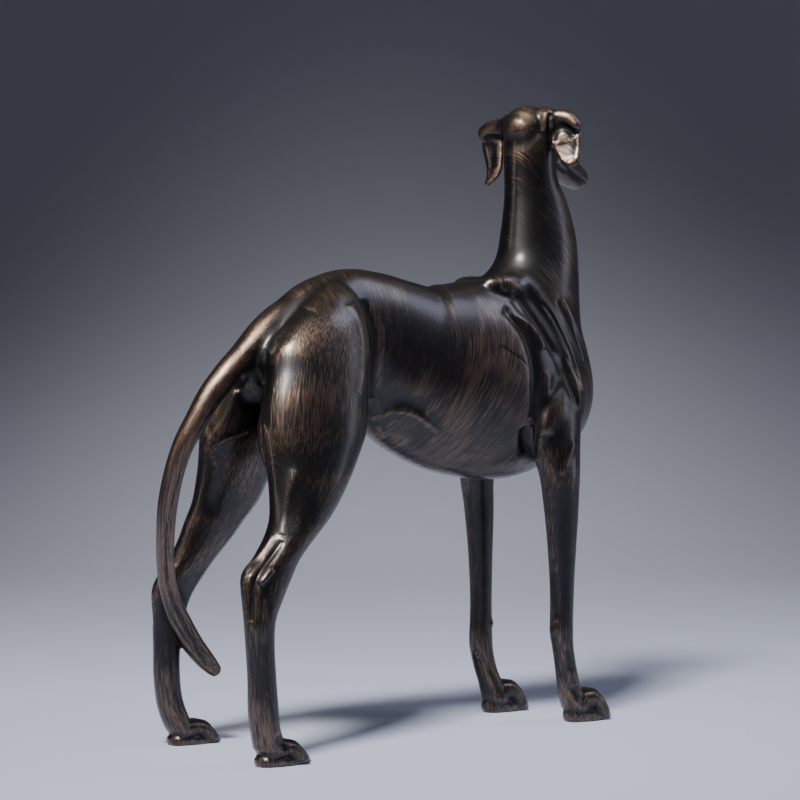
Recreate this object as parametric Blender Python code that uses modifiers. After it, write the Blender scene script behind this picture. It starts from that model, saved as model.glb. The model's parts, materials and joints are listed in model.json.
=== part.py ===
"""Standing greyhound statue, cast in one piece in dark patinated bronze.

Metres, +Z up.  The dog faces +X, its left side is +Y, the four soles stand on z = 0.
Every station below is in millimetres of a statue 352 mm tall and is scaled from HEIGHT.
"""
import math

import bmesh
import bpy
import numpy as np
from mathutils import Matrix, Vector
from mathutils.bvhtree import BVHTree

HEIGHT = 0.352
MM = HEIGHT / 352
GRAIN = 1.4  # cell of the joined surface, mm
FACETS = 9400  # triangles kept in the cast body
SOLE = 0.9  # the feet are ground flat this far up, mm

# Trunk, tail end first: x, top, bottom, half width
TRUNK = [
    (-98, 218, 190, 8),
    (-90, 226, 187, 12),
    (-80, 235, 183, 16),
    (-65, 245, 177, 20),
    (-40, 253.5, 175, 20.5),
    (-22, 253, 174, 21.5),
    (-12, 252, 168.5, 23),
    (-2, 250.8, 160.5, 25),
    (8, 249.5, 152.5, 27),
    (30, 249, 143, 31),
    (55, 251, 138.5, 33),
    (78, 251, 138.5, 32),
    (96, 246, 142, 29),
    (108, 238, 150, 23),
]
# Breastbone up to the nape, level ovals: x, y, z, half length, half width
NECK = [
    (90, 0, 149, 20, 14),
    (94, 0, 156, 30, 20),
    (98, 0, 167, 37.5, 24.5),
    (100, 0, 181, 41, 27.5),
    (100, 0, 195, 41, 28.5),
    (99, 0, 210, 38, 27.5),
    (97.3, 0, 225, 34.8, 25.6),
    (97, 0, 240, 34.4, 24),
    (98.8, 0, 250, 33, 22.4),
    (104, 0, 264, 27.2, 20),
    (105.1, 0, 275.5, 25.7, 18.2),
    (104.5, 0, 287, 23.4, 16.6),
    (102.9, 0, 298.5, 20.5, 15),
    (99.5, 0, 310, 16.9, 13.9),
    (98.5, 0, 318, 16, 14.2),
    (98, 0, 327, 15.4, 14.6),
    (97.6, 0, 336, 13.6, 14.2),
    (97.4, 0, 342, 11, 12),
]
# Limbs as level ovals from the body down: x, y, z, half length, half width
RIGHT_HIND = [
    (-54, -10, 243, 8, 5),
    (-57, -13, 237, 15, 8),
    (-64.1, -17, 225, 23.6, 12.5),
    (-70.5, -19, 211.8, 30.5, 15.5),
    (-73.6, -21, 198.7, 31.2, 17),
    (-77.8, -24, 183.2, 32.3, 17.5),
    (-80.6, -26.5, 167.7, 32.2, 17),
    (-84.7, -29, 152.3, 27.9, 15.5),
    (-88, -31, 142.2, 24.4, 14.5),
    (-92.2, -33, 132.1, 21, 13),
    (-97.7, -35, 122.2, 17.5, 11.5),
    (-106.4, -37, 112.4, 14.5, 10.5),
    (-115.9, -39, 102.9, 14, 9.2),
    (-122, -40.5, 96.5, 15.6, 8.3),
    (-125.3, -41.8, 88.5, 13.5, 7.8),
    (-127.5, -42.8, 81, 11, 7.3),
    (-129.7, -44, 73, 8.6, 7),
    (-129.4, -44, 60, 7.6, 6.8),
    (-128.3, -44, 44.1, 7.5, 7),
    (-127.5, -44, 29.1, 8, 7.5),
    (-126.3, -44, 19.1, 7.6, 8),
    (-123.5, -44, 10, 8.5, 8.5),
]
LEFT_HIND = [
    (-46, 10, 240, 8, 5),
    (-48, 13, 234, 13, 7.5),
    (-54, 16, 225, 20, 10),
    (-60.1, 19, 212.7, 26.5, 13.5),
    (-70.6, 21, 199.2, 30.5, 16),
    (-77.4, 24, 183.2, 31, 17),
    (-83.2, 26.5, 167.2, 29.6, 17),
    (-86.9, 28.2, 156.5, 25.7, 16),
    (-89.9, 30, 145.9, 22.5, 14.8),
    (-93.7, 33, 130, 20.2, 12.5),
    (-99.5, 35, 119.5, 17.9, 11.5),
    (-105, 37, 109, 15.7, 10.5),
    (-112, 39, 98.6, 13.6, 9.5),
    (-118.5, 40.8, 89.3, 13.9, 8.4),
    (-121.5, 42, 83, 12.8, 7.8),
    (-122.6, 43, 77, 11, 7.4),
    (-123.3, 44, 67.2, 9, 7),
    (-124.3, 44, 53, 7.4, 6.8),
    (-124.3, 44, 38, 7.1, 7),
    (-122.6, 44, 25, 7.2, 7.3),
    (-118.4, 44, 14.1, 7.6, 8.1),
    (-115, 44, 8.5, 7.8, 8.5),
]
RIGHT_FORE = [
    (100, -17, 205, 20, 10),
    (97, -21, 188, 20, 11),
    (94, -24.5, 170, 18.5, 11),
    (93.2, -27, 154, 16.5, 10),
    (94, -29, 140, 13.6, 8.8),
    (94.9, -29, 126.7, 12.2, 7.7),
    (95.4, -29, 115.4, 11.2, 7),
    (95.6, -29, 104, 10, 6.5),
    (95.7, -29, 81.5, 8.2, 5.8),
    (95.4, -29, 60, 7.4, 5.8),
    (95.2, -29, 53.3, 7.6, 6),
    (96, -29, 45.5, 6.4, 6.1),
    (97.8, -29, 36.1, 5.9, 6.4),
    (100.2, -29, 24.6, 6, 7),
    (102.8, -29, 16, 6.6, 7.8),
    (106, -29, 9, 7.5, 8.5),
]
LEFT_FORE = [
    (95, 17, 205, 20, 10),
    (91, 21, 188, 19, 11),
    (86, 24.5, 170, 17, 11),
    (83.5, 27, 152, 13.6, 9.8),
    (83.4, 28.5, 137, 10.9, 8.5),
    (85, 29, 125, 10, 7.5),
    (85.8, 29, 113.4, 9.2, 7),
    (86.5, 29, 95, 7.9, 6.3),
    (86.9, 29, 72, 7, 5.8),
    (86.9, 29, 55.2, 7.1, 5.8),
    (86.8, 29, 43.6, 7.7, 6),
    (87.8, 29, 36, 7.3, 6.1),
    (91, 29, 26, 6.9, 6.5),
    (94.8, 29, 18, 7.2, 7.2),
    (98.5, 29, 9, 8, 8.5),
]
# Tail from the rump to its tip, cast against the left hock: x, y, z, radius
TAIL = [
    (-70, 0, 231, 10),
    (-83, 0, 224.5, 10),
    (-94.5, 0, 216.5, 9.3),
    (-106, 0, 206.5, 8),
    (-117.5, 0.5, 196, 7.2),
    (-127, 2, 184.8, 6.6),
    (-134, 3.5, 173, 6.1),
    (-140, 6, 161.3, 5.6),
    (-143.2, 10, 147, 5.3),
    (-143.6, 15.5, 129.4, 5.2),
    (-141.2, 21, 112.2, 4.8),
    (-137.3, 26.5, 99.5, 4.8),
    (-132.8, 30.7, 87.3, 4.9),
    (-127.6, 33, 76, 5.2),
    (-122, 34, 66, 5.8),
    (-114.2, 34, 54.2, 5.7),
    (-106.2, 33.2, 45, 5),
    (-101, 32.4, 39.8, 3.6),
]
# Middle of each sole and how high the toes arch: x, y, share
PAWS = [(113.6, -29.4, 1.06), (105, 29.4, 1.06), (-116.6, -44, 0.76), (-108, 44, 0.76)]
TOES = (-6.9, -2.45, 2.45, 6.9)

# Head, along its own nose line from the skull's middle: x, z, half depth, half width
HEAD_AT = (97, 0.5, 335)
HEAD_ROLL, HEAD_PITCH, HEAD_YAW = -3.5, 9, 16  # degrees
NAPE = (80, -1, 322)
HEAD = [
    (-10, -1, 10, 10),
    (-5, 1.5, 14.2, 13.5),
    (4, 2.2, 16, 15),
    (14, 0.5, 14.6, 13.6),
    (23, -3.2, 11.6, 11),
    (33, -5.6, 9.2, 8.6),
    (46, -7.4, 7.8, 7.2),
    (57, -9, 7, 6.2),
    (64, -9.8, 6, 5.2),
]
JAW = [(6, -9, 6, 7.5), (18, -11.5, 5.6, 7), (32, -13, 4.8, 6), (48, -14.4, 4, 5), (59, -15, 3.2, 4)]
# Each ear is a rolled fold standing out from the skull and a flap that hangs from it: x, y, z, half depth, half width
RIGHT_ROLL = [
    (1, -8, 6, 5, 5),
    (2, -14, 8.6, 5, 4.8),
    (3.5, -19, 9.6, 4.8, 4.6),
    (5, -24.5, 8.2, 4.4, 4.4),
    (6, -28.6, 4, 3.2, 3.6),
]
RIGHT_FLAP = [
    (6, -21.8, 12, 2.4, 5),
    (6, -21.9, 6.2, 2.8, 8.6),
    (6, -21.8, 1.7, 2.6, 9.2),
    (6, -22.2, -2.7, 2.4, 9),
    (6, -23.5, -8.7, 2.2, 7.8),
    (6, -25.4, -14.6, 2, 6.2),
    (6, -27.3, -18.4, 1.8, 4),
]
LEFT_ROLL = [
    (0, 8, 6, 5.6, 5),
    (0.5, 15, 7, 5.6, 5),
    (1, 21, 7.2, 5.6, 5),
    (1.5, 26, 6.8, 5.6, 4.8),
    (2, 30, 5.2, 5.2, 4.4),
]
LEFT_FLAP = [
    (4, 25.5, 8, 2.6, 6),
    (4, 26.2, 3, 2.8, 8),
    (4, 25.6, -1, 2.6, 8.4),
    (4, 24.6, -6.5, 2.4, 7.8),
    (4, 23.8, -12.4, 2.2, 7),
    (4, 24.2, -18, 2, 6),
    (3.5, 26.4, -22.5, 1.8, 4),
    (3, 28, -25, 1.6, 2.2),
]

# Folds and hollows cut or raised on the skin: width, height, line on the right side.
# The left side gets the same line, moved by its own stance.
SHOULDER = [
    (4.2, 1.1, [(57.5, -18.5, 246), (64, -18, 251), (74.5, -13.5, 253), (78, -18, 249.5), (82.5, -21, 244),
        (86.5, -23, 237.5), (91, -24.5, 229.5), (95.5, -26, 221.5), (99, -27, 213.5), (103.5, -27.5, 206),
        (106, -30, 197), (109.5, -31.5, 187.5)]),
    (2.8, -1.3, [(66.5, -20.5, 244.5), (71.5, -21.5, 238), (75, -24.5, 231.5), (79, -26.5, 225),
        (83, -28.5, 218.5), (87.5, -29, 212), (92, -29.5, 205.5), (98, -29.5, 196.5), (101, -32, 187.5),
        (104, -33, 182)]),
    (1.2, -0.9, [(84.5, -22.5, 239), (88, -23.5, 235), (92, -24.5, 230), (95.5, -25.5, 224),
        (99.5, -26.5, 217), (103, -27, 210.5), (106, -28, 202.5), (107.5, -30.5, 194.5)]),
    (2.4, -0.6, [(65, -20, 240), (67.5, -23.5, 234), (71.5, -26, 229), (76, -27.5, 224)]),
    (2.8, 1.3, [(58, -24.5, 232.5), (63, -26, 229), (69.5, -27, 226), (74.5, -28, 222.5),
        (78, -29.5, 217.5), (81, -30, 211.5)]),
    (3.6, -2.2, [(55, -23.5, 234), (59.5, -25.5, 230.5), (63.5, -27.5, 225.5), (67, -29.5, 219.5),
        (69.5, -31, 212.5), (71, -32, 205.5), (72, -32.5, 197), (72, -32, 187.5), (72.5, -31, 178.5),
        (72, -29.5, 172)]),
    (1.4, -0.9, [(96.5, -24, 240), (100, -24.5, 235), (104, -24.5, 229), (108, -24.5, 222.5),
        (111.5, -25, 215.5), (115, -25, 209.5), (117.5, -25, 204.5)]),
    (2.2, 0.7, [(101, -23.5, 241), (105.5, -23.5, 235), (110, -23, 229), (115, -22.5, 222.5),
        (119.5, -22, 215.5), (123, -21.5, 208)]),
    (2.2, 1, [(88, -29.5, 210), (93, -29, 204.5), (97, -29.5, 198), (98.5, -31.5, 190), (100.5, -33, 182)]),
    (1.8, 0.8, [(97.5, -28, 207), (101.5, -28.5, 200), (103, -31, 193), (105.5, -32.5, 185),
        (106.5, -32.5, 179.5)]),
    (4.5, 1, [(82, -31.5, 199), (81.5, -31, 186), (79.5, -32.5, 175), (80, -33.5, 163.5)]),
    (1.4, 1, [(71.5, -29, 169), (73.5, -27.5, 164), (75, -25, 158.5), (78, -24, 153), (78.5, -26.5, 148)]),
    (3, -1.5, [(66, -29, 168), (68.5, -26, 161), (74, -22, 153.5)]),
    (2.2, 0.6, [(99, -36, 160), (95, -37, 154), (90.5, -37.5, 147.5), (88, -37, 140.5)]),
    (0.8, -0.2, [(46, -30.5, 213), (51.5, -31.5, 210.5), (55.5, -32, 208), (62, -32.5, 205),
        (67, -32.5, 200)]),
    (2, 0.9, [(-26, -6.5, 172), (-22, -13.5, 175.5), (-15.5, -18, 177), (-7, -20.5, 175), (1.5, -21, 170),
        (9, -21, 165)]),
    (5, -0.9, [(-26.5, -14, 182), (-19.5, -18.5, 184), (-10.5, -21.5, 182.5), (0, -23.5, 178.5)]),
    (7, -0.8, [(-20, -8, 166), (-14.5, -13.5, 167.5), (-6, -16, 165.5), (4.5, -16, 159)]),
    (1.7, -0.8, [(87, -29.5, 88.5), (88, -30.5, 77.5), (88.5, -31.5, 67.5), (89, -32, 58.5)]),
    (1.9, 0.8, [(88, -28, 53.5), (88, -29.5, 52.5), (88.5, -31.5, 51.5)]),
    (1.8, -0.6, [(94, -34.5, 43.5), (95.5, -35, 37), (96.5, -35, 30)]),
    (1.6, 0.6, [(93.5, -29.5, 27.5), (95.5, -31.5, 21.5), (98.5, -34.5, 14.5), (102, -36.5, 10.5)]),
    (2.2, -1.2, [(99, -36, 22), (101.5, -36.5, 16.5), (106, -37, 13)]),
]
HIND = [
    (5, -1.1, [(-79.5, -17.5, 231), (-89, -18.5, 223.5), (-97.5, -19.5, 215.5), (-101.5, -15.5, 208)]),
    (4, 0.9, [(-55, -23.5, 233.5), (-52.5, -27, 226), (-51.5, -30, 216.5), (-53, -32.5, 206),
        (-56, -35.5, 195.5), (-60.5, -38.5, 185)]),
    (2.4, -1.5, [(-42, -17, 236), (-38.5, -19.5, 227.5), (-36, -20.5, 218), (-35, -20.5, 207.5),
        (-34, -18.5, 196), (-32, -13.5, 184)]),
    (1.2, 0.6, [(-102, -13.5, 202.5), (-101.5, -10.5, 193.5), (-90, 6.5, 183), (-112, -23.5, 170.5),
        (-112.5, -26, 155.5)]),
    (2.6, -0.5, [(-103.5, -18.5, 201), (-107, -21.5, 191), (-110.5, -24.5, 180.5), (-112.5, -28, 168)]),
    (1.8, 0.9, [(-117.5, -39.5, 116), (-124.5, -40, 108), (-131, -39, 102), (-136.5, -40, 97.5)]),
    (1.8, -1.4, [(-116, -44.5, 113), (-123, -45, 106), (-130, -46, 99.5), (-134.5, -46.5, 92.5),
        (-136.5, -46.5, 84.5), (-137.5, -47, 73.5)]),
    (1.6, 1.1, [(-124.5, -48, 99.5), (-128.5, -48, 96), (-132.5, -47.5, 92)]),
    (1.3, 0.5, [(-130, -49.5, 85.5), (-132, -50.5, 74.5), (-132.5, -50.5, 62.5)]),
    (3, 0.8, [(-104.5, -40.5, 148), (-109, -40, 135.5), (-111.5, -40.5, 125.5), (-115, -43, 115.5)]),
    (2, -1.1, [(-125, -52, 17), (-122, -52, 12), (-118, -52.5, 9.5)]),
]
ONCE = [
    (1.5, 1.3, [(97.5, -14, 348), (96, -15, 342.5), (96, -14, 335.5)]),
    (1.3, -1.4, [(99.5, -15.5, 347), (98.5, -16, 341.5), (100.5, -14, 336)]),
    (2, -1.3, [(101.5, -15, 331.5), (103.5, -16, 336.5), (106, -18.5, 338.5), (108.5, -21.5, 337.5),
        (111, -24, 333.5)]),
    (3.6, -0.5, [(104.5, -19.5, 330), (104, -21, 324.5), (105.5, -24.5, 319.5)]),
    (1, 0.7, [(100, -14, 333.5), (101.5, -15, 327.5), (111, -9.5, 323), (125.5, 0.5, 320),
        (134, 3.5, 319)]),
    (0.9, 0.6, [(113, -25, 336), (112, -26, 328), (109, -27.5, 319.5)]),
    (1.6, -1.2, [(88.5, 28.5, 334.5), (89, 24.5, 336), (90, 21, 336), (92, 19, 335)]),
    (3, -0.6, [(91, 23.5, 332.5), (90.5, 23.5, 325), (90, 22, 317.5)]),
    (0.9, 0.6, [(90.5, 31, 333.5), (90.5, 28, 327), (90, 25.5, 319), (88.5, 25, 312)]),
    (1, -0.8, [(88.5, 13.5, 344.5), (87, 13, 340), (91, 17.5, 336)]),
    (2, -1.4, [(-111.5, -6, 196.5), (-100.5, 11.5, 191.5), (-100.5, 13, 187.5)]),
    (1.3, -0.7, [(-145, 13, 122), (-142, 19, 106), (-137, 25, 91), (-130.5, 28, 77.5), (-122, 28.5, 63),
        (-114.5, 29, 51), (-107, 29.5, 42)]),
    (1.1, -0.5, [(-138, 29, 87.5), (-132.5, 31.5, 75), (-126.5, 30.5, 64.5), (-119.5, 30, 54.5)]),
    (1.8, 0.7, [(80.5, 29.5, 37), (81, 27, 36), (82.5, 25, 35)]),
    (1.5, 0.6, [(84, 25, 31.5), (88.5, 24, 22), (92.5, 23, 11.5), (96, 22.5, 4.5)]),
]
# Eyes, nostrils and mouth, on the head's own lines for the left side; the right side is its mirror
FACE = [
    (1, 0.7, [(28.5, 8, 1), (25.5, 9.6, 4.2), (21.5, 11, 5), (17.5, 12.4, 3.6)]),
    (0.7, -0.7, [(27.5, 8.5, 1), (24.5, 10, 3), (21.5, 11.3, 3.5), (18.3, 12.2, 3)]),
    (0.7, -0.6, [(27.5, 8.4, 0.8), (24, 10.5, -0.6), (21, 11.5, -0.6), (18.3, 12.2, 1.8)]),
    (1.7, 0.7, [(25, 10, 1.4), (22.8, 10.8, 1.4), (20.6, 11.5, 1.4)]),
    (2.2, 0.6, [(31, 6.5, 4), (26, 8.5, 7.5), (20, 10, 9)]),
    (1, -0.9, [(67.5, 2.4, -5.2), (67, 3.8, -6.6), (65, 4.6, -8)]),
    (0.8, -0.8, [(67, 2, -12.4), (58, 5, -12.2), (46, 6.3, -11.6), (35, 7.6, -10.6), (27, 8.8, -8.5)]),
    (0.7, -0.5, [(62, 4.6, -4), (61.5, 5.4, -7.5), (63.5, 4.6, -11)]),
    (2.5, 0.5, [(16, 12.5, -8), (11, 13.5, -5), (7, 14, 0)]),
]
LEFT_HIND_STEP = (8, 0, -9)
LEFT_FORE_STEP = (0, 0, 0)


def smooth_rows(stations, step):
    """Rows about every step mm along a smooth path through the stations."""
    rows = [Vector(s) for s in stations]
    rows = [2 * rows[0] - rows[1], *rows, 2 * rows[-1] - rows[-2]]
    found = []
    for a, b, c, d in zip(rows, rows[1:], rows[2:], rows[3:]):
        parts = max(1, round((c - b).length / step))
        for k in range(parts):
            t = k / parts
            curve = 2 * b + (c - a) * t + (2 * a - 5 * b + 4 * c - d) * t * t
            found.append(0.5 * (curve + (3 * b - a - 3 * c + d) * t ** 3))
    found.append(rows[-2])
    return found


def placed(centre, up, side, along, deep, wide):
    """Matrix that turns a unit circle into an oval ring."""
    turn = Matrix((up, side, along)).transposed().to_4x4()
    return Matrix.Translation(centre) @ turn @ Matrix.Diagonal((max(deep, 0.2), max(wide, 0.2), 1, 1))


def domed(frames, rows, reach):
    """Add rounded ends to a run of rings."""
    def cap(frame, row, away):
        size = reach * min(row[3], row[4])
        made = []
        for angle in (25, 50, 72):
            c, s = math.cos(math.radians(angle)), math.sin(math.radians(angle))
            made.append(Matrix.Translation(away * size * s) @ frame @ Matrix.Diagonal((c, c, 1, 1)))
        return made

    ahead = (frames[1].translation - frames[0].translation).normalized()
    behind = (frames[-1].translation - frames[-2].translation).normalized()
    return cap(frames[0], rows[0], -ahead)[::-1] + frames + cap(frames[-1], rows[-1], behind)


def skin(bm, frames, sides):
    """Closed surface through a run of rings."""
    made = bmesh.ops.create_circle(bm, cap_ends=False, radius=1, segments=sides, matrix=frames[0])
    edges = list({e for v in made["verts"] for e in v.link_edges})
    first = edges
    for a, b in zip(frames, frames[1:]):
        new = bmesh.ops.extrude_edge_only(bm, edges=edges)["geom"]
        verts = {g for g in new if isinstance(g, bmesh.types.BMVert)}
        edges = [g for g in new if isinstance(g, bmesh.types.BMEdge) and all(v in verts for v in g.verts)]
        bmesh.ops.transform(bm, matrix=b @ a.inverted(), verts=list(verts))
    bmesh.ops.contextual_create(bm, geom=first)
    bmesh.ops.contextual_create(bm, geom=edges)


def tube(bm, stations, across=(0, 1, 0), step=4, sides=24, reach=0.7):
    """Rounded form along a path: x, y, z, half depth, half width; the width lies along across."""
    rows = smooth_rows(stations, step)
    frames = []
    for k, row in enumerate(rows):
        along = Vector(rows[min(k + 1, len(rows) - 1)][:3]) - Vector(rows[max(k - 1, 0)][:3])
        along.normalize()
        side = Vector(across)
        side = (side - side.dot(along) * along).normalized()
        frames.append(placed(Vector(row[:3]), along.cross(side), side, along, row[3], row[4]))
    skin(bm, domed(frames, rows, reach), sides)


def column(bm, stations, step=4, sides=32, reach=0.5):
    """Standing form of level ovals: x, y, z, half length, half width."""
    x, y, z = Vector((1, 0, 0)), Vector((0, 1, 0)), Vector((0, 0, 1))
    rows = smooth_rows(stations, step)
    frames = [placed(Vector(r[:3]), x, y, z, r[3], r[4]) for r in rows]
    skin(bm, domed(frames, rows, reach), sides)


def ball(bm, centre, radii, tip=0):
    """Ellipsoid; tip turns it about the cross axis."""
    place = Matrix.Translation(centre) @ Matrix.Rotation(math.radians(tip), 4, "Y")
    bmesh.ops.create_uvsphere(bm, u_segments=24, v_segments=16, radius=1,
                              matrix=place @ Matrix.Diagonal((*radii, 1)))


def muscle(bm, start, end, deep, wide, across=(0, 1, 0)):
    """Long belly of flesh, thickest in the middle."""
    a, b = Vector(start), Vector(end)
    rows = []
    for k in range(9):
        t = k / 8
        swell = max(math.sin(math.pi * t), 0.02) ** 0.75
        rows.append((*a.lerp(b, t), deep * swell, wide * swell))
    tube(bm, rows, across, step=6, sides=20)


def add(bm, piece, place):
    """Put a piece made at the origin into the body."""
    piece.transform(place)
    mesh = bpy.data.meshes.new("piece")
    piece.to_mesh(mesh)
    piece.free()
    bm.from_mesh(mesh)
    bpy.data.meshes.remove(mesh)


def add_paw(bm, x, y, arch):
    """Four arched toes with claws on a flat sole."""
    paw = bmesh.new()
    for k, off in enumerate(TOES):
        ahead = 2.2 if k in (1, 2) else 0
        tube(paw, [
            (-9, off * 0.55, 9.5, 4.2, 3.2),
            (-3.5 + ahead / 2, off * 0.8, 13 + ahead / 2, 4.3, 3.1),
            (2.6 + ahead, off * 0.95, 12.4 + ahead / 2, 4.1, 2.9),
            (7 + ahead, off * 1.02, 7.6, 4, 2.7),
            (9.6 + ahead, off * 1.04, 4, 3.4, 2.6),
        ], step=2.5, sides=16)
        tube(paw, [
            (8.5 + ahead, off * 1.04, 4.8, 2.6, 1.8),
            (11.4 + ahead, off * 1.05, 3.6, 2, 1.5),
            (12.9 + ahead, off * 1.06, 2.6, 1.5, 1.1),
        ], step=2, sides=12)
    tube(paw, [(-11, 0, 4.2, 5.2, 6.2), (-6, 0, 4.8, 6.2, 7.8), (1, 0, 4.2, 6, 8.6), (7, 0, 3, 4.5, 8)], step=3)
    add(bm, paw, Matrix.Translation((x, y, 0)) @ Matrix.Diagonal((1, 1, arch, 1)))


def head_place():
    """Where the head sits: its turn to the left, its nod and its tilt."""
    turn = Matrix.Identity(4)
    for angle, axis in ((HEAD_YAW, "Z"), (HEAD_PITCH, "Y"), (HEAD_ROLL, "X")):
        turn = turn @ Matrix.Rotation(math.radians(angle), 4, axis)
    return Matrix.Translation(HEAD_AT) @ turn


def add_head(bm):
    """Long narrow head with folded ears, turned to the dog's left."""
    head = bmesh.new()
    tube(head, [(x, 0, z, deep, wide) for x, z, deep, wide in HEAD], sides=28, reach=0.6)
    tube(head, [(x, 0, z, deep, wide) for x, z, deep, wide in JAW], sides=20)
    ball(head, (65.5, 0, -7.8), (3.4, 4, 3.2))
    for s in (-1, 1):
        ball(head, (1, 11.5 * s, 6.9 - 0.6 * s), (9, 7, 8.5))
        ball(head, (13, 8.5 * s, -5), (11, 6, 8.5), 15)
        ball(head, (22, 8.2 * s, 2.2), (5, 3.2, 3.2))
    for roll, flap, across in ((RIGHT_ROLL, RIGHT_FLAP, (0.5, -0.87, 0)), (LEFT_ROLL, LEFT_FLAP, (0.25, 0.97, 0))):
        tube(head, roll, (1, 0, 0), 3, 20, 0.8)
        tube(head, flap, across, 3, 24, 0.8)
    add(bm, head, head_place())


def add_flesh(bm):
    """Shoulder blades, upper arms, rump and the male parts."""
    for s in (-1, 1):
        out = (0.2, s, 0)
        muscle(bm, (60, 13 * s, 250), (112, 24 * s, 188), 15, 9, out)
        muscle(bm, (112, 20 * s, 212), (102, 27 * s, 160), 14, 9, out)
        muscle(bm, (104, 26 * s, 196), (78, 29 * s, 152), 13, 8, out)
        ball(bm, (70, 12 * s, 244.5), (20, 9, 8.5), 12)
        ball(bm, (-87, 9 * s, 201), (16, 10, 19))
    muscle(bm, (-86, 0, 194), (-90, -1, 143), 9.5, 7)


def fade(value, low, high):
    """0 below low, 1 above high, eased between."""
    t = min(max((value - low) / (high - low), 0), 1)
    return t * t * (3 - 2 * t)


def flesh(p):
    """How far the broad forms run together: fully on the body, not on head, tail and feet."""
    x, z = p.x / MM, p.z / MM
    body = fade(z, 140, 175) * (1 - fade(z, 290, 315)) * fade(x + (z - 170) * 0.35, -112, -96)
    nape = 1 - fade((p / MM - Vector(NAPE)).length, 14, 26)
    return max(body, nape)


def settled(body):
    """Apply the modifiers."""
    graph = bpy.context.evaluated_depsgraph_get()
    mesh = bpy.data.meshes.new_from_object(body.evaluated_get(graph))
    body.modifiers.clear()
    old, body.data = body.data, mesh
    bpy.data.meshes.remove(old)
    return mesh


def modifier(body, kind, **values):
    """One modifier with its settings."""
    made = body.modifiers.new(kind.lower(), kind)
    for name, value in values.items():
        setattr(made, name, value)
    return made


def carve(mesh, folds):
    """Push the skin in or out along each fold."""
    count = len(mesh.vertices)
    at = np.empty(count * 3)
    mesh.vertices.foreach_get("co", at)
    at = at.reshape(-1, 3) / MM
    out = np.empty(count * 3)
    mesh.vertex_normals.foreach_get("vector", out)
    out = out.reshape(-1, 3)
    surface = BVHTree.FromPolygons([Vector(p) for p in at], [tuple(p.vertices) for p in mesh.polygons])
    push = np.zeros(count)
    for width, height, line in folds:
        points = [surface.find_nearest(Vector(p))[0] for p in line]
        rows = [np.array(surface.find_nearest(p)[0]) for p in smooth_rows(points, 2)]
        low = np.min(rows, axis=0) - 4 * width
        high = np.max(rows, axis=0) + 4 * width
        near = np.where(((at > low) & (at < high)).all(axis=1))[0]
        best = np.full(len(near), 1e9)
        share = np.zeros(len(near))
        for k, (a, b) in enumerate(zip(rows, rows[1:])):
            run = b - a
            t = np.clip(((at[near] - a) @ run) / max(run @ run, 1e-9), 0, 1)
            gap = np.linalg.norm(at[near] - a - t[:, None] * run, axis=1)
            closer = gap < best
            best[closer] = gap[closer]
            share[closer] = ((k + t) / (len(rows) - 1))[closer]
        ends = np.clip(np.minimum(share, 1 - share) / 0.22, 0, 1)
        push[near] += height * np.exp(-(best / width) ** 2) * np.sqrt(ends * (2 - ends))
    at = (at + out * push[:, None]) * MM
    mesh.vertices.foreach_set("co", at.ravel())
    mesh.update()


def both_sides(folds, step):
    """The folds of the right side and their twins on the left."""
    made = list(folds)
    for width, height, line in folds:
        made.append((width, height, [(x + step[0], -y + step[1], z + step[2]) for x, y, z in line]))
    return made


def face_lines():
    """The lines of the face in place on both sides of the head."""
    made = []
    for s in (-1, 1):
        for width, height, line in FACE:
            made.append((width, height, [head_place() @ Vector((x, s * y, z)) for x, y, z in line]))
    return made


def grind_soles(mesh):
    """Flatten the undersides of the feet onto z = 0 and centre the statue over the origin."""
    low = SOLE * MM
    for v in mesh.vertices:
        v.co.z = max(v.co.z, low) - low
        if v.co.z < 0.35 * MM:
            v.co.z = 0
    for k in (0, 1):
        values = [v.co[k] for v in mesh.vertices]
        middle = (min(values) + max(values)) / 2
        for v in mesh.vertices:
            v.co[k] -= middle
    mesh.update()


def dark_bronze():
    """Dark brown patina over cast metal."""
    material = bpy.data.materials.new("dark_bronze")
    material.use_nodes = True
    shader = material.node_tree.nodes["Principled BSDF"]
    shader.inputs["Base Color"].default_value = (0.035, 0.026, 0.02, 1)
    shader.inputs["Metallic"].default_value = 0.8
    shader.inputs["Roughness"].default_value = 0.35
    return material


for old in list(bpy.data.objects):
    bpy.data.objects.remove(old, do_unlink=True)

form = bmesh.new()
tube(form, [(x, 0, (top + low) / 2, (top - low) / 2, wide) for x, top, low, wide in TRUNK], sides=40)
for limb in (NECK, RIGHT_HIND, LEFT_HIND, RIGHT_FORE, LEFT_FORE):
    column(form, limb)
tube(form, [(x, y, z, r, r) for x, y, z, r in TAIL], sides=20)
for x, y, arch in PAWS:
    add_paw(form, x, y, arch)
add_head(form)
add_flesh(form)
bmesh.ops.recalc_face_normals(form, faces=form.faces[:])
form.transform(Matrix.Scale(MM, 4))

shape = bpy.data.meshes.new("greyhound")
form.to_mesh(shape)
form.free()
dog = bpy.data.objects.new("greyhound", shape)
statue = bpy.data.collections.new("greyhound_statue")
bpy.context.scene.collection.children.link(statue)
statue.objects.link(dog)

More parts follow.
